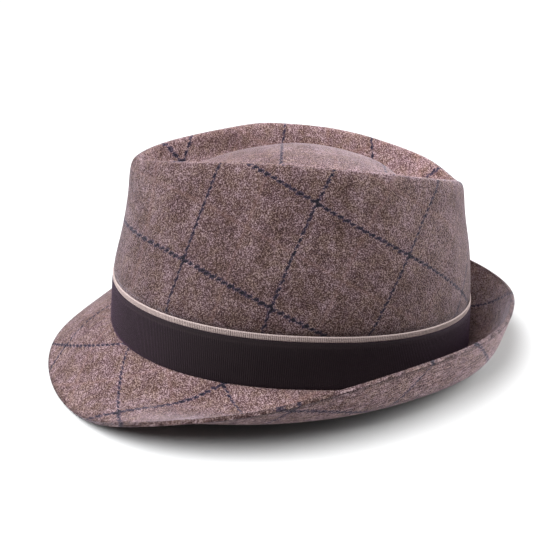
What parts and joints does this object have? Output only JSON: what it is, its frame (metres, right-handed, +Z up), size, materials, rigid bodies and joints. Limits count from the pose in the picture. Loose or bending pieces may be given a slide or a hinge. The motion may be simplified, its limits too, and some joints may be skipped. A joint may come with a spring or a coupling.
{
  "type": "trilby hat",
  "caption": "Trilby hat of checked wool cloth with a teardrop crown, a ribbed ribbon band with a pale edging, and a brim turned down in front and up behind.",
  "frame": {"origin": "on the surface that the hat rests on, under the middle of its bounding box", "axes": "+Z up, -Y towards the front of the hat, +X towards its wearer's left; the hat is tilted as it rests, front edge and rear of the brim on the surface"},
  "size_m": [0.2424, 0.275, 0.1178],
  "materials": {
    "checked_wool": "brown and rose heathered tweed with a dark blue dotted windowpane check, matt and slightly hairy",
    "dark_ribbon": "very dark brown ribbed ribbon, soft sheen",
    "pale_ribbon": "pale rose beige ribbed ribbon, soft sheen"
  },
  "bodies": {
    "root": {"brim": "checked_wool", "crown": "checked_wool", "ribbon_band": "dark_ribbon", "ribbon_edging": "pale_ribbon"}
  },
  "joints": []
}
